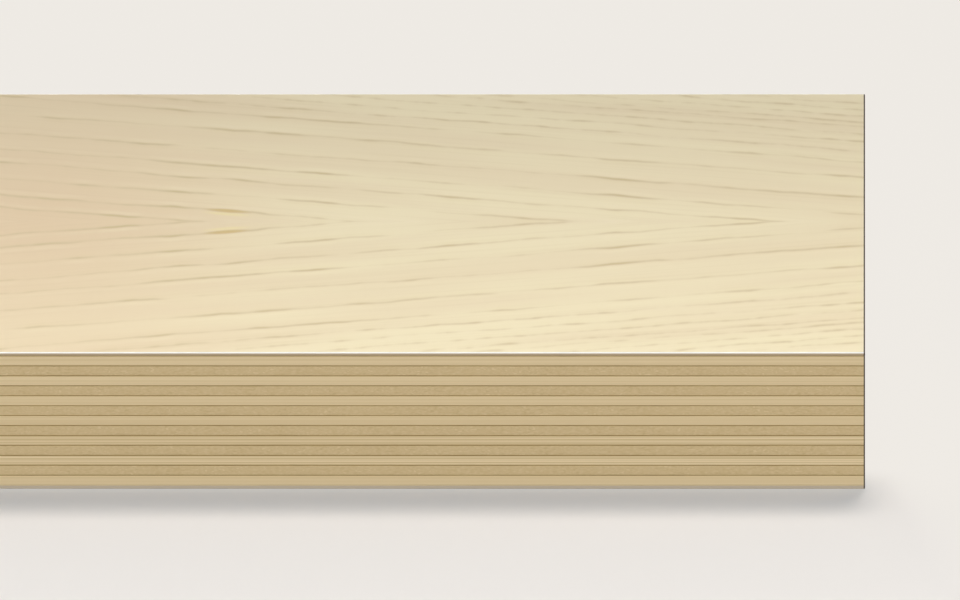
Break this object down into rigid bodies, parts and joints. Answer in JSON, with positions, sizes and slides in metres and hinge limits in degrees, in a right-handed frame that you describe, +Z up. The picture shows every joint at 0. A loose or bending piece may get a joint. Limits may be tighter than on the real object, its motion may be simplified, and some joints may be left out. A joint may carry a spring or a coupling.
{
  "type": "plywood board",
  "caption": "Flat veneered plywood board: crosswise plies bonded with dark glue lines that show on its square sawn edges; raw stock for shelves, furniture and cut panels.",
  "frame": {"origin": "middle of the underside, on the surface that the board lies on", "axes": "+X along the board and its face grain, +Y across it from the front edge to the rear edge, +Z up, out of the face veneer"},
  "size_m": [0.6, 0.1, 0.018],
  "materials": {
    "face_veneer": "matte",
    "long_ply": "matte",
    "cross_ply": "matte",
    "glue_line": "matte",
    "back_veneer": "matte"
  },
  "bodies": {
    "root": {"face_leaf_front": "face_veneer", "face_leaf_rear": "face_veneer", "ply_01_long": "long_ply", "ply_02_cross": "cross_ply", "ply_03_long": "long_ply", "ply_04_cross": "cross_ply", "ply_05_long": "long_ply", "ply_06_cross": "cross_ply", "ply_07_long": "long_ply", "ply_08_cross": "cross_ply", "ply_09_long": "long_ply", "ply_10_cross": "cross_ply", "ply_11_long": "long_ply", "ply_12_cross": "cross_ply", "ply_13_long": "long_ply", "glue_line_01": "glue_line", "glue_line_02": "glue_line", "glue_line_03": "glue_line", "glue_line_04": "glue_line", "glue_line_05": "glue_line", "glue_line_06": "glue_line", "glue_line_07": "glue_line", "glue_line_08": "glue_line", "glue_line_09": "glue_line", "glue_line_10": "glue_line", "glue_line_11": "glue_line", "glue_line_12": "glue_line", "glue_line_13": "glue_line", "glue_line_14": "glue_line", "back_veneer": "back_veneer"}
  },
  "joints": []
}
